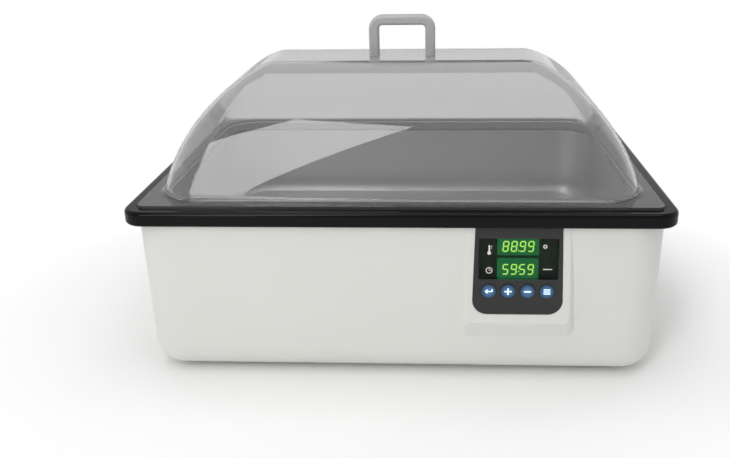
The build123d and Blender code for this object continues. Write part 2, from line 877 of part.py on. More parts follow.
with BuildPart() as probe_clip:
    with BuildSketch(facing_right(-clip_width / 2, probe_y, tank_underside)):
        strap_reach = probe_radius + shaft_gap
        foot_length = 2 * (strap_reach + clip_sheet + clip_foot)
        with Locations((0, -clip_sheet / 2)):
            Rectangle(foot_length, clip_sheet)
        with Locations((0, -probe_radius)):
            Circle(strap_reach + clip_sheet)
        with Locations((0, strap_reach)):
            Rectangle(foot_length, 2 * strap_reach, mode=Mode.SUBTRACT)
        with Locations((0, -probe_radius)):
            Circle(strap_reach, mode=Mode.SUBTRACT)
        with Locations((0, -probe_radius / 2)):
            Rectangle(2 * strap_reach, probe_radius, mode=Mode.SUBTRACT)
    extrude(amount=clip_width)
probe_clip.part.label = "probe_clip"

with BuildPart() as earth_stud:
    add(discs([(earth_x, earth_y)], stud_radius, tank_underside - earth_length, tank_underside))
    with BuildSketch(Plane.XY.offset(tank_underside - earth_length / 2 - nut_height)):
        with Locations((earth_x, earth_y)):
            RegularPolygon(nut_across / 2, 6, major_radius=False)
    extrude(amount=nut_height)
earth_stud.part.label = "earth_stud"

# Drain: pipe from the tank floor, clamped at the recess by a nut, into a ball valve with a hose spigot.
with BuildPart() as drain_pipe:
    with BuildLine() as pipe_run:
        FilletPolyline(
            (drain_x, drain_y, tank_floor),
            (drain_x, drain_y, drain_height),
            (drain_x, pipe_end_y, drain_height),
            radius=pipe_bend,
        )
    with BuildSketch(Plane(origin=pipe_run.line @ 0, z_dir=pipe_run.line % 0)):
        Circle(pipe_radius)
        Circle(pipe_bore, mode=Mode.SUBTRACT)
    sweep()
    with BuildSketch(Plane.XY.offset(tank_underside - collar_height)):
        with Locations((drain_x, drain_y)):
            Circle(collar_radius)
            Circle((pipe_radius + pipe_bore) / 2, mode=Mode.SUBTRACT)
    extrude(amount=collar_height)
drain_pipe.part.label = "drain_pipe"

with BuildPart() as drain_nut:
    nut_front = recess_floor_y - recess_wall - bulkhead_nut_height
    with BuildSketch(facing_back(drain_x, nut_front, drain_height)):
        RegularPolygon(bulkhead_nut_across / 2, 6, major_radius=False)
        Circle(pipe_radius + seal_gap, mode=Mode.SUBTRACT)
    extrude(amount=bulkhead_nut_height)
drain_nut.part.label = "drain_nut"

with BuildPart() as drain_valve_body:
    add(rear_disc(drain_x, drain_height, valve_radius, recess_floor_y, valve_end_y))
    fillet(drain_valve_body.edges().sort_by(Axis.Y)[-1], valve_end_round)
    add(discs([(drain_x, ball_y)], valve_neck_radius, drain_height, neck_top))
    add(rear_disc(drain_x, drain_height, spigot_radius, valve_end_y, spigot_end_y))
    with Locations((drain_x, ball_y, drain_height)):
        Sphere(ball_radius + slip, mode=Mode.SUBTRACT)
    add(
        rear_disc(drain_x, drain_height, pipe_radius + seal_gap, recess_floor_y, pipe_end_y),
        mode=Mode.SUBTRACT,
    )
    add(rear_disc(drain_x, drain_height, valve_bore, recess_floor_y, ball_y), mode=Mode.SUBTRACT)
    add(rear_disc(drain_x, drain_height, spigot_bore, ball_y, spigot_end_y), mode=Mode.SUBTRACT)
    add(discs([(drain_x, ball_y)], stem_radius + shaft_gap, drain_height, neck_top), mode=Mode.SUBTRACT)
drain_valve_body.part.label = "drain_valve_body"

with BuildPart() as drain_ball:
    with Locations((drain_x, ball_y, drain_height)):
        Sphere(ball_radius)
    with BuildSketch(facing_right(drain_x - ball_radius, ball_y, drain_height)):
        Circle(ball_bore)
    extrude(amount=2 * ball_radius, mode=Mode.SUBTRACT)
    stem_foot = drain_height + ball_bore + (ball_radius - ball_bore) / 2
    add(discs([(drain_x, ball_y)], stem_radius, stem_foot, lever_bottom + stem_seat))
drain_ball.part.label = "drain_ball"

with BuildPart() as drain_lever:
    with BuildSketch(Plane.XY.offset(lever_bottom)):
        with Locations((drain_x, ball_y)):
            Circle(lever_hub_radius)
        with Locations((drain_x + lever_length / 2, ball_y)):
            Rectangle(lever_length, lever_width)
        fillet(vertices().group_by(Axis.X)[-1], lever_corner)
    extrude(amount=lever_thickness)
    with BuildSketch(Plane.XY.offset(lever_bottom + lever_thickness)):
        with Locations((drain_x + lever_length - lever_grip / 2, ball_y)):
            Rectangle(lever_grip, lever_grip_width)
    extrude(amount=lever_thickness)
    add(
        discs([(drain_x, ball_y)], stem_radius + shaft_gap, lever_bottom, lever_bottom + stem_seat),
        mode=Mode.SUBTRACT,
    )
drain_lever.part.label = "drain_lever"

# Bottom cover, its screws and the feet.
with BuildPart() as bottom_cover:
    with BuildSketch(Plane.XY.offset(foot_height)):
        RectangleRounded(cover_length, cover_depth, cover_corner)
        with Locations(*cover_screw_places):
            Circle(screw_radius + shaft_gap, mode=Mode.SUBTRACT)
        with Locations((vents_x, vents_front_y), (-vents_x, 0)):
            with GridLocations(vent_pitch, vent_length, vent_count, 1):
                SlotOverall(vent_length, vent_width, rotation=90, mode=Mode.SUBTRACT)
    extrude(amount=cover_sheet)
bottom_cover.part.label = "bottom_cover"

with BuildPart() as cover_screws:
    add(discs(cover_screw_places, screw_head_radius, foot_height - screw_head_height, foot_height))
    add(discs(cover_screw_places, screw_radius, foot_height, cover_screw_tip))
cover_screws.part.label = "cover_screws"


def foot(place):
    """One rubber foot with a spigot that plugs into the housing's floor."""
    with BuildPart() as shape:
        add(discs([place], foot_radius, 0, foot_height))
        fillet(shape.edges().group_by(Axis.Z)[0], foot_edge_round)
        add(discs([place], foot_spigot_radius, foot_height, foot_height + foot_seat))
    return shape.part


with BuildPart() as foot_front_left:
    add(foot(foot_places[0]))
foot_front_left.part.label = "foot_front_left"

with BuildPart() as foot_front_right:
    add(foot(foot_places[1]))
foot_front_right.part.label = "foot_front_right"

with BuildPart() as foot_rear_left:
    add(foot(foot_places[2]))
foot_rear_left.part.label = "foot_rear_left"

with BuildPart() as foot_rear_right:
    add(foot(foot_places[3]))
foot_rear_right.part.label = "foot_rear_right"

# Control panel: dark bezel let into the boss, with a window, four keys and the display board behind.
with BuildPart() as panel_bezel:
    add(panel_slab(panel_shape(0), bezel_back, panel_proud))
    fillet(panel_bezel.faces().sort_by(Axis.Y)[0].edges(), panel_edge_round)
    add(panel_slab(panel_window(0), bezel_back, panel_proud), mode=Mode.SUBTRACT)
    add(panel_discs(key_places, key_radius + slip, bezel_back, panel_proud), mode=Mode.SUBTRACT)
    add(panel_discs(post_places, post_radius, board_front, bezel_back))
    add(
        panel_discs(post_places, board_screw_radius + shaft_gap, board_front, post_hole_front),
        mode=Mode.SUBTRACT,
    )
panel_bezel.part.label = "panel_bezel"

with BuildPart() as display_window:
    add(panel_slab(panel_window(-seal_gap), bezel_back, panel_proud - window_sunk))
    add(panel_slab(panel_window(window_lap), lens_back, bezel_back))
display_window.part.label = "display_window"

with BuildPart() as temperature_display:
    with BuildSketch(panel_plane.offset(board_front)):
        with Locations((0, display_row_upper)):
            Rectangle(display_length, display_height)
    extrude(amount=display_depth)
temperature_display.part.label = "temperature_display"

with BuildPart() as time_display:
    with BuildSketch(panel_plane.offset(board_front)):
        with Locations((0, display_row_lower)):
            Rectangle(display_length, display_height)
    extrude(amount=display_depth)
time_display.part.label = "time_display"

with BuildPart() as display_board:
    with BuildSketch(panel_plane.offset(board_back)):
        Rectangle(board_width, board_height)
        with Locations(*post_places):
            Circle(board_screw_radius + shaft_gap, mode=Mode.SUBTRACT)
    extrude(amount=board_thickness)
display_board.part.label = "display_board"

with BuildPart() as board_screws:
    add(panel_discs(post_places, board_screw_head, board_back - board_screw_head_height, board_back))
    add(panel_discs(post_places, board_screw_radius, board_back, post_hole_front - slip))
board_screws.part.label = "board_screws"

with BuildPart() as key_switches:
    with BuildSketch(panel_plane.offset(board_front)):
        with Locations(*key_places):
            Rectangle(switch_side, switch_side)
    extrude(amount=switch_height)
    switch_front = board_front + switch_height
    add(
        panel_discs(key_places, key_stem_radius + shaft_gap, board_front + switch_floor, switch_front),
        mode=Mode.SUBTRACT,
    )
key_switches.part.label = "key_switches"


def key(place):
    """One key: a crowned cap, a collar that stops it behind the bezel and a stem into its switch."""
    with BuildPart() as shape:
        add(panel_discs([place], key_radius, collar_back, panel_proud + key_proud))
        fillet(shape.edges().sort_by(Axis.Y)[0], key_crown)
        add(panel_discs([place], key_radius + key_collar, collar_back, collar_front))
        stem_tip = board_front + switch_height - switch_entry
        add(panel_discs([place], key_stem_radius, stem_tip, collar_back))
    return shape.part


with BuildPart() as enter_key:
    add(key(key_places[0]))
enter_key.part.label = "enter_key"

with BuildPart() as plus_key:
    add(key(key_places[1]))
plus_key.part.label = "plus_key"

with BuildPart() as minus_key:
    add(key(key_places[2]))
minus_key.part.label = "minus_key"

with BuildPart() as menu_key:
    add(key(key_places[3]))
menu_key.part.label = "menu_key"

# Power board on snap-in standoffs above the bottom cover, with what it carries.
standoff_places = [
    (power_board_x + side_x * (power_board_length / 2 - standoff_inset),
     power_board_y + side_y * (power_board_width / 2 - standoff_inset))
    for side_x in (-1, 1) for side_y in (-1, 1)
]

with BuildPart() as power_board:
    with BuildSketch(Plane.XY.offset(power_board_bottom)):
        with Locations((power_board_x, power_board_y)):
            Rectangle(power_board_length, power_board_width)
        with Locations(*standoff_places):
            Circle(standoff_peg + shaft_gap, mode=Mode.SUBTRACT)
    extrude(amount=board_thickness)
power_board.part.label = "power_board"

with BuildPart() as board_standoffs:
    add(discs(standoff_places, standoff_radius, cover_top, power_board_bottom))
    add(discs(standoff_places, standoff_peg, power_board_bottom, power_board_top))
    add(discs(standoff_places, standoff_cap, power_board_top, power_board_top + standoff_cap_height))
board_standoffs.part.label = "board_standoffs"


def board_part(place, size):
    """A block of a given length, width and height that stands at a place on the power board."""
    x = power_board_x + place[0]
    y = power_board_y + place[1]
    length, width, height = size
    top = power_board_top + height
    return block(x - length / 2, x + length / 2, y - width / 2, y + width / 2, power_board_top, top)


with BuildPart() as transformer:
    add(board_part(transformer_place, transformer_core))
    add(board_part(transformer_place, transformer_coil))
transformer.part.label = "transformer"

with BuildPart() as relay:
    add(board_part(relay_place, relay_size))
    fillet(relay.edges().filter_by(Axis.Z), relay_round)
relay.part.label = "relay"

with BuildPart() as terminal_block:
    add(board_part(terminal_place, terminal_size))
    terminal_middle = power_board_top + terminal_size[2] / 2
    terminal_x = power_board_x + terminal_place[0]
    terminal_front = power_board_y + terminal_place[1] - terminal_size[1] / 2
    with BuildSketch(facing_back(terminal_x, terminal_front, terminal_middle)):
        with GridLocations(terminal_pitch, 1, terminal_count, 1):
            Circle(terminal_hole)
    extrude(amount=terminal_size[1] / 2, mode=Mode.SUBTRACT)
terminal_block.part.label = "terminal_block"

with BuildPart() as board_fuse:
    clip_reach = (fuse_length - fuse_clip[0]) / 2
    add(board_part((fuse_place[0] - clip_reach, fuse_place[1]), fuse_clip))
    add(board_part((fuse_place[0] + clip_reach, fuse_place[1]), fuse_clip))
    fuse_start = power_board_x + fuse_place[0] - fuse_length / 2
    fuse_y = power_board_y + fuse_place[1]
    fuse_z = power_board_top + fuse_clip[2]
    with BuildSketch(facing_right(fuse_start, fuse_y, fuse_z)):
        Circle(fuse_radius)
    extrude(amount=fuse_length)
board_fuse.part.label = "board_fuse"

# Mains inlet with three pins, held by two screws to the pad on the back.
with BuildPart() as mains_inlet:
    with BuildSketch(facing_back(inlet_x, entry_pad_y - inlet_depth, entry_height)):
        Rectangle(inlet_width, inlet_height)
    extrude(amount=inlet_depth)
    with BuildSketch(facing_back(inlet_x, entry_pad_y, entry_height)):
        RectangleRounded(inlet_flange_width, inlet_flange_height, inlet_corner)
        with GridLocations(inlet_screw_pitch, 1, 2, 1):
            Circle(screw_radius + shaft_gap, mode=Mode.SUBTRACT)
    extrude(amount=inlet_flange)
    with BuildSketch(facing_back(inlet_x, inlet_socket_floor, entry_height)):
        Rectangle(inlet_socket_width, inlet_socket_height)
        chamfer(vertices().group_by(Axis.Y)[-1], inlet_chamfer)
    extrude(amount=inlet_socket_depth, mode=Mode.SUBTRACT)
mains_inlet.part.label = "mains_inlet"

with BuildPart() as inlet_pins:
    with BuildSketch(facing_back(inlet_x, inlet_socket_floor, entry_height)):
        outer_pins = [(-inlet_pin_pitch, -inlet_pin_step), (inlet_pin_pitch, -inlet_pin_step)]
        with Locations((0, inlet_pin_step), *outer_pins):
            Rectangle(inlet_pin_width, inlet_pin_height)
    extrude(amount=inlet_pin_reach)
inlet_pins.part.label = "inlet_pins"

with BuildPart() as inlet_screws:
    flange_face_y = entry_pad_y + inlet_flange
    with BuildSketch(facing_back(inlet_x, flange_face_y, entry_height)):
        with GridLocations(inlet_screw_pitch, 1, 2, 1):
            Circle(screw_head_radius)
    extrude(amount=screw_head_height)
    with BuildSketch(facing_back(inlet_x, flange_face_y - inlet_screw_length, entry_height)):
        with GridLocations(inlet_screw_pitch, 1, 2, 1):
            Circle(screw_radius)
    extrude(amount=inlet_screw_length)
inlet_screws.part.label = "inlet_screws"

# Power switch: a frame through the pad and a rocker on two short trunnions.
with BuildPart() as switch_frame:
    with BuildSketch(facing_back(rocker_x, entry_pad_y, entry_height)):
        RectangleRounded(switch_frame_width, switch_frame_height, switch_corner)
    extrude(amount=switch_flange)
    with BuildSketch(facing_back(rocker_x, entry_pad_y - switch_body_depth, entry_height)):
        Rectangle(2 * switch_body_x, 2 * switch_body_z)
    extrude(amount=switch_body_depth)
    with BuildSketch(facing_back(rocker_x, entry_pad_y - switch_body_depth + switch_body_wall, entry_height)):
        Rectangle(2 * (switch_body_x - switch_body_wall), 2 * (switch_body_z - switch_body_wall))
    extrude(amount=switch_body_depth - switch_body_wall + switch_flange, mode=Mode.SUBTRACT)
    pin_reach = rocker_width / 2 + rocker_pin_length
    with BuildSketch(facing_right(rocker_x - pin_reach, pivot_y, entry_height)):
        Circle(rocker_pin_radius + shaft_gap)
    extrude(amount=2 * pin_reach, mode=Mode.SUBTRACT)
switch_frame.part.label = "switch_frame"

with BuildPart() as power_rocker:
    crest_z = math.sqrt(rocker_radius**2 - rocker_crest**2)
    rocker_side = facing_right(rocker_x - rocker_width / 2, pivot_y, entry_height)
    with BuildSketch(rocker_side):
        with BuildLine():
            Polyline((rocker_crest, -crest_z), (rocker_dip, 0), (rocker_crest, crest_z))
            ThreePointArc((rocker_crest, crest_z), (0, rocker_radius), (-rocker_crest, crest_z))
            Line((-rocker_crest, crest_z), (-rocker_crest, -crest_z))
            ThreePointArc((-rocker_crest, -crest_z), (0, -rocker_radius), (rocker_crest, -crest_z))
        make_face()
    extrude(amount=rocker_width)
    with BuildSketch(rocker_side.offset(-rocker_pin_length)):
        Circle(rocker_pin_radius)
    extrude(amount=rocker_width + 2 * rocker_pin_length)
pivot_axis = Axis((rocker_x, pivot_y, entry_height), (1, 0, 0))
power_rocker.part = power_rocker.part.rotate(pivot_axis, rocker_swing)
power_rocker.part.label = "power_rocker"


def arc_middle(half_base, half_top, radius, base, top):
    """The centre of the arc that joins a wall's foot to its top, on the side towards the middle."""
    rise_x = half_top - half_base
    rise_z = top - base
    chord = math.hypot(rise_x, rise_z)
    reach = math.sqrt(radius**2 - chord**2 / 4)
    return (half_base + half_top) / 2 - reach * rise_z / chord, (base + top) / 2 + reach * rise_x / chord


def dome(inset):
    """The dome as a solid, drawn in by an inset: two arched profiles crossed, with rounded hips."""
    top = lid_top - inset
    walls = (
        (Plane.XZ, opening_x + lid_foot_out, lid_side_run, lid_side_radius),
        (Plane.YZ, lid_face_half, lid_face_run, lid_face_radius),
    )
    with BuildPart() as shape:
        for plane, half_base, run, radius in walls:
            middle_x, middle_z = arc_middle(half_base, half_base - run, radius, lid_base, lid_top)

            def half_at(height):
                return middle_x + math.sqrt((radius - inset) ** 2 - (height - middle_z) ** 2)

            halfway = (lid_base + top) / 2
            with BuildSketch(plane):
                with BuildLine():
                    ThreePointArc(*((half_at(height), height) for height in (lid_base, halfway, top)))
                    Line((half_at(top), top), (0, top))
                    Line((half_at(lid_base), lid_base), (0, lid_base))
                    mirror(about=Plane.YZ)
                make_face()
            first = plane == Plane.XZ
            extrude(amount=half_length, both=True, mode=Mode.ADD if first else Mode.INTERSECT)
        fillet(shape.edges().group_by(Axis.Z)[1], lid_hip_round - inset)
        fillet(shape.faces().sort_by(Axis.Z)[-1].edges(), lid_shoulder_round - inset)
    return shape.part


# Lid: clear domed moulding with a flat flange on the ledge and a lip inside the tank's mouth.
with BuildPart() as lid_dome:
    add(dome(0))
    add(rounded_slab(lid_x, lid_y, lid_corner, ledge_top, lid_base))
    dome_foot = lid_dome.edges().filter_by(
        lambda edge: abs(edge.bounding_box().min.Z - lid_base) < slip
        and abs(edge.bounding_box().max.Z - lid_base) < slip
        and edge.bounding_box().max.X < lid_x - slip
        and edge.bounding_box().min.X > slip - lid_x
        and abs(edge.center().Y) < lid_y - slip
    )
    fillet(dome_foot, lid_cove_round)
    add(rounded_slab(lip_x, lip_y, lip_corner, lip_bottom, ledge_top))
    add(dome(lid_wall), mode=Mode.SUBTRACT)
    add(rounded_slab(
        lip_x - lid_lip_wall, lip_y - lid_lip_wall, lip_corner - lid_lip_wall, lip_bottom, lid_base,
    ), mode=Mode.SUBTRACT)
    fillet(lid_dome.edges().group_by(Axis.Z)[0], lid_lip_round)
    add(
        discs(handle_places, handle_screw_radius + shaft_gap, lid_top - lid_wall, lid_top),
        mode=Mode.SUBTRACT,
    )
lid_dome.part.label = "lid_dome"

with BuildPart() as lid_handle:
    with BuildLine() as bail:
        FilletPolyline(
            (-handle_x, 0, lid_top),
            (-handle_x, 0, handle_bar_z),
            (handle_x, 0, handle_bar_z),
            (handle_x, 0, lid_top),
            radius=handle_bend,
        )
    with BuildSketch(Plane(origin=bail.line @ 0, x_dir=(1, 0, 0), z_dir=bail.line % 0)):
        RectangleRounded(handle_thickness, handle_depth, handle_edge_round)
    sweep()
    add(
        discs(handle_places, handle_screw_radius + shaft_gap, lid_top, handle_screw_tip + slip),
        mode=Mode.SUBTRACT,
    )
lid_handle.part.label = "lid_handle"

with BuildPart() as handle_washers:
    with BuildSketch(Plane.XY.offset(screw_start_z)):
        with Locations(*handle_places):
            Circle(handle_washer_radius)
            Circle(handle_screw_radius + shaft_gap, mode=Mode.SUBTRACT)
    extrude(amount=handle_washer_thickness)
handle_washers.part.label = "handle_washers"

with BuildPart() as handle_screws:
    add(discs(handle_places, handle_screw_head, screw_start_z - handle_screw_head_height, screw_start_z))
    add(discs(handle_places, handle_screw_radius, screw_start_z, handle_screw_tip))
handle_screws.part.label = "handle_screws"

pieces = (
    housing, rim_frame, frame_screws, tank, tank_gasket, tank_jacket, perforated_shelf,
    heater_pad, heater_clamp_plate, heater_insulation, heater_studs, heater_nuts, thermal_cutout,
    temperature_probe, probe_clip, earth_stud, drain_pipe, drain_nut, drain_valve_body, drain_ball,
    drain_lever, bottom_cover, cover_screws, foot_front_left, foot_front_right, foot_rear_left,
    foot_rear_right, panel_bezel, display_window, temperature_display, time_display, display_board,
    board_screws, key_switches, enter_key, plus_key, minus_key, menu_key, power_board, board_standoffs,
    transformer, relay, terminal_block, board_fuse, mains_inlet, inlet_pins, inlet_screws, switch_frame,
    power_rocker, lid_dome, lid_handle, handle_washers, handle_screws,
)
os.makedirs("parts", exist_ok=True)
for piece in pieces:
    export_step(piece.part, f"parts/{piece.part.label}.step")
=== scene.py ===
import math

import bpy
from mathutils import Matrix, Quaternion, Vector


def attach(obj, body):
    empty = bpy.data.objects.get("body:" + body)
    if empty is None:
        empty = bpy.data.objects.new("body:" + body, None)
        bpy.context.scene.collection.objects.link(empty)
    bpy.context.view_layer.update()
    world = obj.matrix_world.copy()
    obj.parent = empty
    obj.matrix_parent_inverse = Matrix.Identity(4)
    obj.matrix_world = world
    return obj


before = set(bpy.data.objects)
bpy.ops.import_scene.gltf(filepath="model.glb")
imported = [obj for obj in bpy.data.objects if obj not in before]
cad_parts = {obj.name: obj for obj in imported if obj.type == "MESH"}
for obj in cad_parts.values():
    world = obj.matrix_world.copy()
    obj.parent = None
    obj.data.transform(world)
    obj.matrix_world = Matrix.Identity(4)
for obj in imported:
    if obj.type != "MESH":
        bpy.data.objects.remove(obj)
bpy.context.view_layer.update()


# Housing: one white injection moulding with a slightly drawn-in wall and a raised control boss.
# Its face has the very fine grain of a satin mould and a tone that wanders a little.
class Shade:
    """A socket in a tree of shader nodes. Sums on it add Math nodes, node() adds any other."""

    def __init__(self, tree, socket=None):
        self.tree = tree
        self.socket = socket

    def fill(self, made, values):
        """Sets or links the sockets of a node."""
        for name, value in values.items():
            if isinstance(value, Shade):
                self.tree.links.new(value.socket, made.inputs[name])
            else:
                made.inputs[name].default_value = value

    def node(self, kind, settings, values, output=0):
        """Adds a node, with its settings first and its sockets after them."""
        made = self.tree.nodes.new(kind)
        for name, value in settings.items():
            setattr(made, name, value)
        self.fill(made, values)
        return Shade(self.tree, made.outputs[output])

    def surface(self, values):
        """Sets or links the sockets of the material's Principled shader."""
        self.fill(self.tree.nodes["Principled BSDF"], values)

    def sum(self, operation, first, second):
        return self.node("ShaderNodeMath", {"operation": operation}, {0: first, 1: second})

    def __add__(self, other):
        return self.sum("ADD", self, other)

    def __radd__(self, other):
        return self.sum("ADD", other, self)

    def __sub__(self, other):
        return self.sum("SUBTRACT", self, other)

    def __rsub__(self, other):
        return self.sum("SUBTRACT", other, self)

    def __mul__(self, other):
        return self.sum("MULTIPLY", self, other)

    def __rmul__(self, other):
        return self.sum("MULTIPLY", other, self)

    def __pow__(self, other):
        return self.sum("POWER", self, other)

    def clamp(self, low=0.0, high=1.0):
        return self.sum("MINIMUM", self.sum("MAXIMUM", self, low), high)

    def noise(self, place, per_metre, detail=2.0):
        """An uneven pattern from 0 to 1, with so many patches to the metre."""
        values = {"Vector": place, "Scale": per_metre, "Detail": detail}
        return self.node("ShaderNodeTexNoise", {}, values, "Fac")

    def blend(self, amount, first, second):
        """A colour between two. Sockets 6 and 7 and output 2 are the Mix node's colour ones."""
        values = {0: amount, 6: (*first, 1), 7: (*second, 1)}
        return self.node("ShaderNodeMix", {"data_type": "RGBA"}, values, 2)

    def bump(self, height, depth):
        """A relief of so many metres from a pattern."""
        values = {"Height": height, "Distance": depth, "Strength": 1.0}
        return self.node("ShaderNodeBump", {}, values, "Normal")


def new_finish(name):
    """A new material, a Shade to build on it and the place on the piece, in metres."""
    material = bpy.data.materials.new(name)
    material.use_nodes = True
    shade = Shade(material.node_tree)
    return material, shade, shade.node("ShaderNodeTexCoord", {}, {}, "Object")


def scaled(colour, factor):
    return tuple(min(1.0, part * factor) for part in colour)


def moulded(name, colour, roughness, grains, depth, spread=0.03, shine=0.5):
    """Moulded plastic: an uneven tone, a fine grain and a gloss that varies with both."""
    rub_share, grain_share = 0.12, 0.06
    smoothest = 0.03
    material, shade, place = new_finish(name)
    tone = shade.noise(place, per_metre=11.0, detail=4.0)
    grain = shade.noise(place, per_metre=grains)
    rubbed = shade.noise(place, per_metre=60.0, detail=5.0)
    uneven = roughness + (rubbed - 0.5) * rub_share + (grain - 0.5) * grain_share
    shade.surface({
        "Base Color": shade.blend(tone, scaled(colour, 1 - spread), scaled(colour, 1 + spread)),
        "Roughness": uneven.clamp(low=smoothest),
        "Specular IOR Level": shine,
        "Normal": shade.bump(grain, depth),
    })
    return material


def dress(material, *nodes):
    """Gives nodes of the part their finish, in the slots that they came with."""
    for node in nodes:
        for material_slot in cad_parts[node].material_slots:
            material_slot.material = material


white_satin = moulded(
    "white_satin", (0.74, 0.74, 0.705),
    roughness=0.36, grains=1400.0, depth=0.00003, spread=0.012,
)
dress(white_satin, "housing")

# Rim frame: a black gloss moulding that caps the housing and lines the mouth of the tank.
# Handling leaves it faintly rubbed. It mirrors little, so that its top stays near black.
black_gloss = moulded(
    "black_gloss", (0.005, 0.005, 0.0055),
    roughness=0.10, grains=900.0, depth=0.00001, spread=0.2, shine=0.12,
)
dress(black_gloss, "rim_frame")


# Tank and shelf: sheet steel, drawn and punched, with the fine lines of a brushed finish.
# The lines run along the length. The cover, the clamp plate and the clip are plain sheet.
def brushed(name, colour, roughness, lines):
    """Sheet steel: a pattern of lines or patches, so many to the metre along each side."""
    line_share, cloud_share = 0.2, 0.16
    smoothest = 0.05
    line_depth = 0.00004
    material, shade, place = new_finish(name)
    stretched = shade.node("ShaderNodeMapping", {}, {"Vector": place, "Scale": lines})
    line = shade.noise(stretched, per_metre=1.0, detail=3.0)
    cloud = shade.noise(place, per_metre=8.0, detail=4.0)
    uneven = roughness + (line - 0.5) * line_share + (cloud - 0.5) * cloud_share
    shade.surface({
        "Base Color": shade.blend(line, scaled(colour, 0.9), scaled(colour, 1.08)),
        "Metallic": 1.0,
        "Roughness": uneven.clamp(low=smoothest),
        "Normal": shade.bump(line, line_depth),
    })
    return material


brushed_lines = (6.0, 900.0, 900.0)
rolled_patches = (40.0, 40.0, 40.0)
drawn_steel = brushed("drawn_steel", (0.56, 0.56, 0.56), 0.44, brushed_lines)
dress(drawn_steel, "tank", "perforated_shelf")
galvanised_sheet = brushed("galvanised_sheet", (0.52, 0.53, 0.54), 0.42, rolled_patches)
dress(galvanised_sheet, "bottom_cover")
clamp_sheet = brushed("clamp_sheet", (0.48, 0.49, 0.50), 0.45, rolled_patches)
dress(clamp_sheet, "heater_clamp_plate", "probe_clip")


# Fixings, probe and drain: plated metal, turned and cold formed, with faint tool marks.
# They hold the frame, the covers, the boards, the handle and the heater.
def plated(name, colour, roughness):
    """Plated metal: its tone and gloss follow the marks of the tool."""
    mark_share = 0.25
    smoothest = 0.05
    mark_depth = 0.00002
    material, shade, place = new_finish(name)
    mark = shade.noise(place, per_metre=700.0, detail=4.0)
    shade.surface({
        "Base Color": shade.blend(mark, scaled(colour, 0.86), scaled(colour, 1.1)),
        "Metallic": 1.0,
        "Roughness": (roughness + (mark - 0.5) * mark_share).clamp(low=smoothest),
        "Normal": shade.bump(mark, mark_depth),
    })
    return material


dress(
    plated("zinc_plate", (0.62, 0.63, 0.65), roughness=0.28),
    "frame_screws", "cover_screws", "board_screws", "inlet_screws", "handle_screws",
    "handle_washers", "heater_studs", "heater_nuts", "earth_stud", "temperature_probe",
)
dress(
    plated("nickel_plate", (0.66, 0.60, 0.46), roughness=0.26),
    "drain_valve_body", "drain_nut", "drain_pipe", "drain_ball", "inlet_pins", "board_fuse",
)

# Heater stack and jacket: silicone pad, mineral slab and black foam, hidden under the tank.
# The slab is fibrous and the foam has open cells. The clamp plate presses the stack up.
heater_silicone = moulded(
    "heater_silicone", (0.42, 0.08, 0.035),
    roughness=0.6, grains=2600.0, depth=0.00015, spread=0.1,
)
dress(heater_silicone, "heater_pad")
mineral_slab = moulded(
    "mineral_slab", (0.58, 0.50, 0.32),
    roughness=0.9, grains=900.0, depth=0.0006, spread=0.14,
)
dress(mineral_slab, "heater_insulation")
cell_foam = moulded(
    "cell_foam", (0.07, 0.07, 0.075),
    roughness=0.85, grains=700.0, depth=0.0005, spread=0.2,
)
dress(cell_foam, "tank_jacket")

# Feet and gasket: black rubber, moulded, matt and slightly dusty.
# The feet plug into the housing's floor and the gasket lies on the tank's flange.
black_rubber = moulded(
    "black_rubber", (0.022, 0.022, 0.022),
    roughness=0.7, grains=1500.0, depth=0.00008, spread=0.3,
)
dress(
    black_rubber,
    "foot_front_left", "foot_front_right", "foot_rear_left", "foot_rear_right", "tank_gasket",
)

# Control panel bezel: dark grey moulding let into the boss, with a finely sparked satin face.
# The smoked window is pressed in from behind it.
slate_satin = moulded(
    "slate_satin", (0.030, 0.030, 0.031),
    roughness=0.38, grains=2400.0, depth=0.00003, spread=0.08, shine=0.3,
)
dress(slate_satin, "panel_bezel")

smoked, shade, place = new_finish("smoked_window")
smear = shade.noise(place, per_metre=90.0, detail=5.0)
smear_depth = 0.000004
shade.surface({
    "Base Color": (0.40, 0.36, 0.36, 1),
    "Transmission Weight": 1.0,
    "IOR": 1.2,
    "Roughness": 0.03 + smear * 0.05,
    "Normal": shade.bump(smear, smear_depth),
})
dress(smoked, "display_window")

# Digit modules: green lit segments in a dark green face with a painted green glow, behind the
# smoked window.
# Each digit leans a little and is made of seven bars with pointed ends.
panel_middle = Vector((0.1217, -0.1784, 0.1281))
panel_tilt = math.radians(3.0)
panel_across = Vector((1, 0, 0))
panel_up = Vector((0, math.sin(panel_tilt), math.cos(panel_tilt)))
panel_out = Vector((0, -math.cos(panel_tilt), math.sin(panel_tilt)))


def on_panel(across, up, out):
    """A point of the room from one given on the control panel's plane."""
    return panel_middle + panel_across * across + panel_up * up + panel_out * out


def inlay(name, outlines, back, front, body, material):
    """Flat outlines on the control panel's plane, given a thickness between two depths."""
    points = []
    faces = []
    for outline in outlines:
        first = len(points)
        count = len(outline)
        for depth in (back, front):
            points += [on_panel(across, up, depth) for across, up in outline]
        faces.append([first + i for i in reversed(range(count))])
        faces.append([first + count + i for i in range(count)])
        for i in range(count):
            j = (i + 1) % count
            faces.append([first + i, first + j, first + count + j, first + count + i])
    mesh = bpy.data.meshes.new(name)
    mesh.from_pydata([tuple(point) for point in points], [], faces)
    mesh.materials.append(material)
    piece = bpy.data.objects.new(name, mesh)
    bpy.context.scene.collection.objects.link(piece)
    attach(piece, body)


def ring_points(centre, radius, count=24):
    """The corners of a disc, as an outline."""
    angles = [math.tau * i / count for i in range(count)]
    return [
        (centre[0] + radius * math.cos(angle), centre[1] + radius * math.sin(angle))
        for angle in angles
    ]


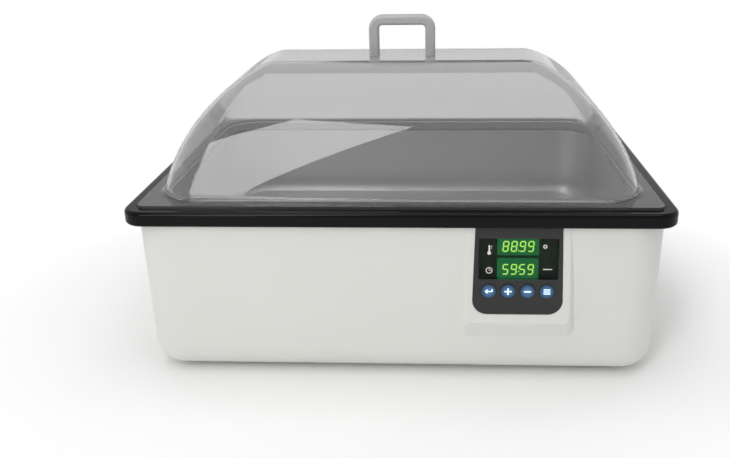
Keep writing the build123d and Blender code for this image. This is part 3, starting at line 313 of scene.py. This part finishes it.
def glowing(name, colour, strength, base):
    """A face that gives off light a little unevenly. The digits are lamps; elsewhere it is a
    painted glow.
    """
    material, shade, place = new_finish(name)
    patch = shade.noise(place, per_metre=500.0)
    shade.surface({
        "Base Color": shade.blend(patch, scaled(base, 0.8), scaled(base, 1.2)),
        "Roughness": 0.3 + patch * 0.2,
        "Emission Color": shade.blend(patch, scaled(colour, 0.82), scaled(colour, 1.15)),
        "Emission Strength": strength,
    })
    return material


# The module faces get a painted green glow; only the digits are lamps.
module_face_painted_glow = glowing("module_face_painted_glow", (0.010, 0.30, 0.085), 1.0, base=(0.01, 0.06, 0.02))
digit_light = glowing("digit_light", (0.40, 1.0, 0.12), 2.6, base=(0.05, 0.2, 0.05))
dress(module_face_painted_glow, "temperature_display", "time_display")

segment_bars = {
    "top": ((0, 1), (1, 1)),
    "upper_right": ((1, 1), (1, 0.5)),
    "lower_right": ((1, 0.5), (1, 0)),
    "bottom": ((0, 0), (1, 0)),
    "lower_left": ((0, 0.5), (0, 0)),
    "upper_left": ((0, 1), (0, 0.5)),
    "middle": ((0, 0.5), (1, 0.5)),
}
segments_lit = {
    "8": tuple(segment_bars),
    "9": ("top", "upper_right", "lower_right", "bottom", "upper_left", "middle"),
    "5": ("top", "lower_right", "bottom", "upper_left", "middle"),
}
digit_width = 0.0050
digit_height = 0.0104
digit_pitch = 0.0084
digit_lean = 0.10
digit_thickness = 0.0002
row_inset = 0.0012
segment_width = 0.0013
segment_end_gap = segment_width * 0.6
module_front = -0.0040


def digit_outlines(character, left, foot):
    """The lit bars of one digit, each with pointed ends."""
    outlines = []
    for bar in segments_lit[character]:
        (x0, y0), (x1, y1) = segment_bars[bar]
        start = Vector((x0 * digit_width, y0 * digit_height))
        end = Vector((x1 * digit_width, y1 * digit_height))
        along = (end - start).normalized()
        side = Vector((-along.y, along.x)) * segment_width / 2
        point = along * segment_width / 2
        start += along * segment_end_gap
        end -= along * segment_end_gap
        corners = [start - point, start - side, end - side, end + point, end + side, start + side]
        outlines.append([(left + p.x + p.y * digit_lean, foot + p.y) for p in corners])
    return outlines


def digit_row(name, characters, foot, dots):
    """One row of digits with its dots, just in front of the module's face."""
    left = -2 * digit_pitch + row_inset
    outlines = list(dots)
    for index, character in enumerate(characters):
        outlines += digit_outlines(character, left + index * digit_pitch, foot)
    front = module_front + digit_thickness
    inlay(name, outlines, module_front, front, "bath", digit_light)


upper_foot = 0.0205
lower_foot = -0.0043
dot = 0.0007
digit_row("temperature_digits", "8899", upper_foot, [
    ring_points((0.0004, upper_foot + dot), dot),
])
digit_row("time_digits", "5959", lower_foot, [
    ring_points((0.0008, lower_foot + 0.003), dot),
    ring_points((0.0012, lower_foot + 0.0072), dot),
])

# Window legends: pale marks printed on the window's face beside the digits, with a painted glow
# that keeps them bright.
# A thermometer and a clock stand at the left, and a degree ring and a dash at the right.
# The legend print gets a painted glow.
legend_ink_painted_glow = glowing("legend_ink_painted_glow", (0.62, 0.55, 0.58), 0.35, base=(0.62, 0.57, 0.58))
window_face = 0.0004
print_depth = 0.00006
fine_line = 0.0006
bold_line = 0.0010
thermometer_x, thermometer_y = -0.0294, 0.0232
clock_x, clock_y = -0.0292, 0.0012
degree = (0.0262, 0.0270)
dash_x, dash_y = 0.0292, 0.0026


def stroke(start, end, width):
    """A straight bar between two points, as an outline."""
    low, high = Vector(start), Vector(end)
    along = high - low
    side = Vector((-along.y, along.x)).normalized() * width / 2
    return [tuple(low - side), tuple(high - side), tuple(high + side), tuple(low + side)]


def level_stroke(x0, x1, y, width):
    return stroke((x0, y), (x1, y), width)


def ring_band(centre, radius, width, count):
    """A ring that stops just short of closing, as one outline."""
    almost_round = math.tau * 0.999
    angles = [almost_round * i / count for i in range(count + 1)]
    outside, inside = [
        [(centre[0] + reach * math.cos(angle), centre[1] + reach * math.sin(angle))
         for angle in angles]
        for reach in (radius + width / 2, radius - width / 2)
    ]
    return outside + inside[::-1]


def legend(name, outlines):
    front = window_face + print_depth
    inlay(name, outlines, window_face, front, "bath", legend_ink_painted_glow)


stem_foot = (thermometer_x, thermometer_y - 0.003)
stem_top = (thermometer_x, thermometer_y + 0.0050)
tick_start = thermometer_x + 0.0014
legend("thermometer_mark", [
    ring_points((thermometer_x, thermometer_y - 0.0032), 0.0019),
    stroke(stem_foot, stem_top, 0.0015),
    level_stroke(tick_start, thermometer_x + 0.0030, thermometer_y + 0.0038, fine_line),
    level_stroke(tick_start, thermometer_x + 0.0024, thermometer_y + 0.0018, fine_line),
])
legend("clock_mark", [
    ring_band((clock_x, clock_y), 0.0030, 0.0008, 28),
    stroke((clock_x, clock_y), (clock_x, clock_y + 0.0021), fine_line),
    level_stroke(clock_x, clock_x + 0.0016, clock_y, fine_line),
])
legend("degree_mark", [ring_band(degree, 0.0016, bold_line, 20)])
legend("minute_mark", [level_stroke(dash_x - 0.0045, dash_x + 0.0045, dash_y, bold_line)])

# Keys: four round translucent caps with a painted blue glow in place of light through them, each
# with a pale mark on its face.
# The marks are a back arrow, a plus, a minus and three lines. Each cap presses by itself.
key_row = -0.0212
key_pitch = 0.0195
key_face = 0.0019
key_radius = 0.0076
mark_width = 0.0011
arrow_reach = 0.0034
barb_end = -0.0012
sign_reach = 0.0036
# The key marks are pale print with a painted glow.
mark_painted_glow = glowing("mark_painted_glow", (0.62, 0.84, 1.0), 0.9, base=(0.6, 0.75, 0.85))


def key_finish(name, middle):
    """Blue translucent plastic with a painted glow and a painted lighter colour towards the middle
    of its key.
    """
    material, shade, place = new_finish(name)
    measured = {"operation": "DISTANCE"}
    distance = shade.node("ShaderNodeVectorMath", measured, {0: place, 1: middle}, "Value")
    edge = (distance * (1 / key_radius)).clamp() ** 1.6
    grain = shade.noise(place, per_metre=1800.0)
    # The lighter middle and the emission are painted light: darker and dimmer towards the cap's
    # edge.
    shade.surface({
        "Base Color": shade.blend(edge, (0.05, 0.12, 0.24), (0.018, 0.036, 0.056)),
        "Emission Color": shade.blend(edge, (0.045, 0.12, 0.24), (0.002, 0.008, 0.014)),
        "Emission Strength": 0.8,
        "Specular IOR Level": 0.25,
        "Roughness": 0.26 + grain * 0.12,
        "Normal": shade.bump(grain, 0.00002),
    })
    return material


key_marks = {
    "enter_key": lambda x, y: [
        level_stroke(x - 0.0030, x + arrow_reach, y, mark_width),
        stroke((x - arrow_reach, y), (x + barb_end, y + 0.0020), mark_width),
        stroke((x - arrow_reach, y), (x + barb_end, y - 0.0020), mark_width),
        stroke((x + arrow_reach, y - 0.0005), (x + arrow_reach, y + 0.0026), mark_width),
    ],
    "plus_key": lambda x, y: [
        level_stroke(x - sign_reach, x + sign_reach, y, mark_width * 1.3),
        stroke((x, y - sign_reach), (x, y + sign_reach), mark_width * 1.3),
    ],
    "minus_key": lambda x, y: [
        level_stroke(x - sign_reach, x + sign_reach, y, mark_width * 1.4),
    ],
    "menu_key": lambda x, y: [
        level_stroke(x - arrow_reach, x + arrow_reach, y + step, mark_width)
        for step in (-0.0022, 0, 0.0022)
    ],
}
mark_face = key_face + print_depth
for index, (key, marks) in enumerate(key_marks.items()):
    across = (index - 1.5) * key_pitch
    middle = on_panel(across, key_row, key_face)
    dress(key_finish(key + "_glow", tuple(middle)), key)
    outlines = marks(across, key_row)
    inlay(key + "_mark", outlines, key_face, mark_face, key, mark_painted_glow)

# Boards and what they carry: laminate, moulded cases and a varnished core, hidden inside.
# The display board hangs on the bezel's posts and the power board stands on the bottom cover.
board_laminate = moulded(
    "board_laminate", (0.015, 0.11, 0.05),
    roughness=0.4, grains=500.0, depth=0.00004, spread=0.2,
)
dress(board_laminate, "display_board", "power_board")
white_nylon = moulded(
    "white_nylon", (0.72, 0.72, 0.69), roughness=0.45, grains=1500.0, depth=0.00003,
)
dress(white_nylon, "board_standoffs")
varnished_core = moulded(
    "varnished_core", (0.07, 0.065, 0.06),
    roughness=0.35, grains=300.0, depth=0.0001, spread=0.25,
)
dress(varnished_core, "transformer")
relay_case = moulded(
    "relay_case", (0.02, 0.09, 0.32), roughness=0.3, grains=1200.0, depth=0.00002,
)
dress(relay_case, "relay")
terminal_plastic = moulded(
    "terminal_plastic", (0.03, 0.22, 0.09), roughness=0.42, grains=1200.0, depth=0.00003,
)
dress(terminal_plastic, "terminal_block")

# Mains inlet, switches and cut-out: black glass-filled nylon with a sparked face.
# The rocker is smoother, as it is pressed, and the drain lever is painted red.
black_nylon = moulded(
    "black_nylon", (0.020, 0.020, 0.021),
    roughness=0.46, grains=1600.0, depth=0.00006, spread=0.2,
)
dress(black_nylon, "mains_inlet", "switch_frame", "key_switches", "thermal_cutout")
rocker_plastic = moulded(
    "rocker_plastic", (0.016, 0.016, 0.017),
    roughness=0.28, grains=1600.0, depth=0.00002, spread=0.2,
)
dress(rocker_plastic, "power_rocker")
red_paint = moulded(
    "red_paint", (0.42, 0.022, 0.018),
    roughness=0.3, grains=900.0, depth=0.00004, spread=0.08,
)
dress(red_paint, "drain_lever")


# Lid: clear moulded plastic with a faint grey cast, polished, with fine wiping marks.
# It lies loose on the rim's ledge and its lip hangs inside the tank's mouth.
def mix_over(shade, amount, other):
    """Mixes the material's own surface with another shader, by an amount from 0 to 1."""
    own = Shade(shade.tree, shade.tree.nodes["Principled BSDF"].outputs[0])
    mixed = shade.node("ShaderNodeMixShader", {}, {0: amount, 1: own, 2: other})
    shade.tree.links.new(mixed.socket, shade.tree.nodes["Material Output"].inputs["Surface"])


wiped_along = (30.0, 90.0, 90.0)
haze = 0.04
clear, shade, place = new_finish("clear_plastic")
stretched = shade.node("ShaderNodeMapping", {}, {"Vector": place, "Scale": wiped_along})
wipe = shade.noise(stretched, per_metre=1.0, detail=5.0)
shade.surface({
    "Base Color": (0.66, 0.66, 0.66, 1),
    "Transmission Weight": 0.90,
    "IOR": 1.46,
    "Roughness": (wipe - 0.5).clamp() * haze,
})
is_shadow = shade.node("ShaderNodeLightPath", {}, {}, "Is Shadow Ray")
passes_light = shade.node("ShaderNodeBsdfTransparent", {}, {"Color": (0.80, 0.80, 0.80, 1)})
mix_over(shade, is_shadow, passes_light)
dress(clear, "lid_dome")

# Handle: a grey plastic bail with rounded edges, screwed to the dome from inside.
# The grip is slightly polished by hands.
handle_grey = moulded(
    "handle_grey", (0.42, 0.42, 0.425),
    roughness=0.36, grains=1100.0, depth=0.00004, spread=0.05,
)
dress(handle_grey, "lid_handle")

# Floor: a plain pale sheet of paper that takes a soft shadow, and isn't part of the object.
# Away from the object it is seen as plain white, by the camera and through the clear lid.
floor_reach = 6.0
floor_level = -0.0003
fade_start = 0.34
fade_per_metre = 5.0
fade_shape = (1.0, 1.35, 0.0)
floor_mesh = bpy.data.meshes.new("floor")
floor_corners = [
    (x * floor_reach, y * floor_reach, floor_level)
    for x, y in ((-1, -1), (1, -1), (1, 1), (-1, 1))
]
floor_mesh.from_pydata(floor_corners, [], [(0, 1, 2, 3)])
floor = bpy.data.objects.new("floor", floor_mesh)
bpy.context.scene.collection.objects.link(floor)
paper, shade, place = new_finish("pale_paper")
fibre = shade.noise(place, per_metre=300.0, detail=4.0)
shade.surface({
    "Base Color": shade.blend(fibre, (0.90, 0.90, 0.90), (0.93, 0.93, 0.93)),
    "Roughness": 0.9,
    "Specular IOR Level": 0.1,
})
ground = shade.node("ShaderNodeVectorMath", {"operation": "MULTIPLY"}, {0: place, 1: fade_shape})
from_middle = shade.node("ShaderNodeVectorMath", {"operation": "LENGTH"}, {0: ground}, "Value")
seen_directly = shade.node("ShaderNodeLightPath", {}, {}, "Is Camera Ray")
through_lid = shade.node("ShaderNodeLightPath", {}, {}, "Is Transmission Ray")
far = ((from_middle - fade_start) * fade_per_metre).clamp()
faded = (far * (seen_directly + through_lid)).clamp()
clean_white = shade.node("ShaderNodeEmission", {}, {"Color": (1, 1, 1, 1), "Strength": 1.0})
mix_over(shade, faded, clean_white)
floor_mesh.materials.append(paper)

# Surroundings: plain soft daylight from all sides, seen as white behind the object.
# It is brighter at the sides and behind, and dark in the patch that the rim's top mirrors.
world = bpy.data.worlds.new("studio")
bpy.context.scene.world = world
world.use_nodes = True
fill_strength = 0.33
side_strength = 0.5
back_strength = 0.55
patch_towards = (0.024, 0.927, 0.375)
patch_edge = 0.982
patch_sharpness = 120.0
patch_darkness = 0.95
sky = Shade(world.node_tree)
to_camera = sky.node("ShaderNodeLightPath", {}, {}, "Is Camera Ray")
direction = sky.node("ShaderNodeTexCoord", {}, {}, "Generated")
aligned = {"operation": "DOT_PRODUCT"}
behind = sky.node("ShaderNodeVectorMath", aligned, {0: direction, 1: patch_towards}, "Value")
dark_patch = ((behind - patch_edge) * patch_sharpness).clamp()
sideways = sky.node("ShaderNodeSeparateXYZ", {}, {"Vector": direction}, "X")
backwards = sky.node("ShaderNodeSeparateXYZ", {}, {"Vector": direction}, "Y").clamp()
daylight = (
    fill_strength + sideways * sideways * side_strength + backwards * backwards * back_strength
)
around = daylight * (1 - dark_patch * patch_darkness)
sky.fill(world.node_tree.nodes["Background"], {
    "Color": (1, 1, 1, 1),
    "Strength": to_camera + (1 - to_camera) * around,
})


def softbox(name, place, target, size, watts, lean=0.0):
    """A large soft lamp that faces a point, leaning by some degrees."""
    lamp = bpy.data.lights.new(name, "AREA")
    lamp.shape = "RECTANGLE"
    lamp.size, lamp.size_y = size
    lamp.energy = watts
    holder = bpy.data.objects.new(name, lamp)
    bpy.context.scene.collection.objects.link(holder)
    holder.location = place
    holder.rotation_mode = "QUATERNION"
    facing = (Vector(target) - Vector(place)).to_track_quat("-Z", "Y")
    holder.rotation_quaternion = facing @ Quaternion((0, 0, 1), math.radians(lean))


softbox("overhead", place=(0.0, -0.1, 1.9), target=(0.0, 0.0, 0.1), size=(1.8, 1.2), watts=12.0)
softbox(
    "tall_left", place=(-0.60, -1.5, 1.45), target=(0.0, -0.1, 0.2), size=(0.50, 1.9),
    watts=15.5, lean=-6.0,
)

# Camera: a fairly long lens a little above the bath, looking down on its front.
# The picture was cut off centre, so the lens is shifted to put its middle where it was.
picture_width = 730
focal_px = 763.40
lens_centre = (403.0, 150.0)
picture_centre = (365.0, 229.0)
rim_top = 0.191
eye = Vector((0.04077, -0.87808, rim_top + 0.28707))
yaw, pitch, roll = 0.0475686, 0.3065357, -0.0144071
sensor_mm = 36.0
level_right = Vector((math.cos(yaw), math.sin(yaw), 0))
level_ahead = Vector((-math.sin(yaw), math.cos(yaw), 0))
upright = Vector((0, 0, 1))
ahead = level_ahead * math.cos(pitch) - upright * math.sin(pitch)
above = upright * math.cos(pitch) + level_ahead * math.sin(pitch)
right = level_right * math.cos(roll) + above * math.sin(roll)
above = above * math.cos(roll) - level_right * math.sin(roll)
lens = bpy.data.cameras.new("camera")
lens.sensor_width = sensor_mm
lens.lens = focal_px / picture_width * sensor_mm
lens.shift_x = (picture_centre[0] - lens_centre[0]) / picture_width
lens.shift_y = (lens_centre[1] - picture_centre[1]) / picture_width
lens.clip_start, lens.clip_end = 0.01, 50.0
camera = bpy.data.objects.new("camera", lens)
bpy.context.scene.collection.objects.link(camera)
camera.matrix_world = Matrix.Translation(eye) @ Matrix((right, above, -ahead)).transposed().to_4x4()
bpy.context.scene.camera = camera
bpy.context.scene.view_settings.view_transform = "Standard"
